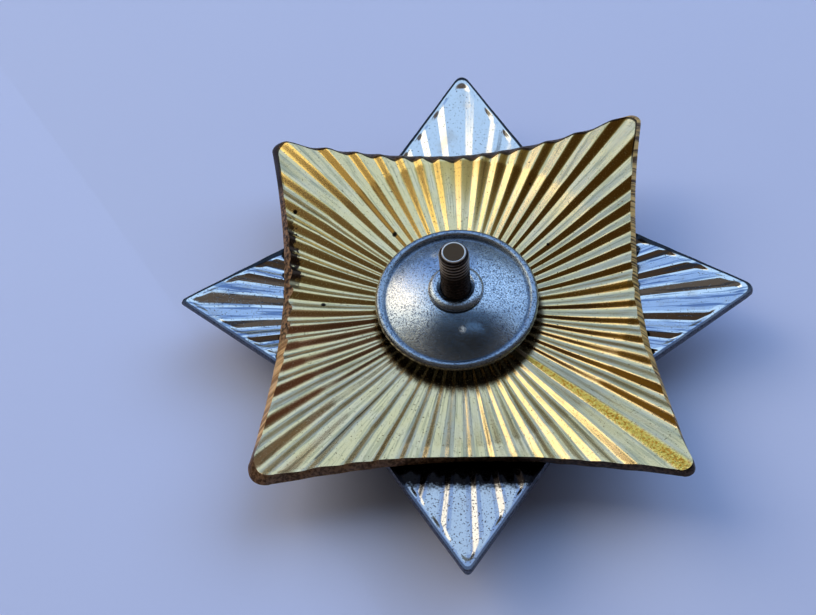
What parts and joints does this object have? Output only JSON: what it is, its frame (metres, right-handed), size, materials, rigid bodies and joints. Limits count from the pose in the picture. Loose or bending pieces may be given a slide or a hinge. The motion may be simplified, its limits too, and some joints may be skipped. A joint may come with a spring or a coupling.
{
  "type": "breast badge",
  "caption": "Breast star of rayed, dished metal plates on a round boss, lying face down, with a threaded post and a domed round screw nut on its back.",
  "frame": {"origin": "on the axis of the post, in the plane of the flat front face of the centre boss, on which the badge lies", "axes": "+Z along the post towards its free end, out of the badge's back; +Y towards the silver point that is farthest from the camera in the picture; +X to the picture's right"},
  "size_m": [0.0582, 0.0579, 0.0149],
  "materials": {
    "boss_brass": "polished brass",
    "white_metal": "bright silver-plated pressing, a little stained",
    "plate_brass": "bright brass pressing with specks and brown tarnish at the edge",
    "dark_steel": "blackened steel thread",
    "nut_steel": "dull grey plated steel, finely pitted"
  },
  "bodies": {
    "star": {"centre_boss": "boss_brass", "silver_star": "white_metal", "gold_star": "plate_brass", "screw_post": "dark_steel"},
    "screw_nut": {"nut_plate": "nut_steel", "nut_bush": "nut_steel"}
  },
  "joints": [
    {"name": "nut_travel", "type": "slide", "parent": "star", "child": "screw_nut", "axis": [0, 0, 1], "range_m": [0, 0.0055]}
  ]
}
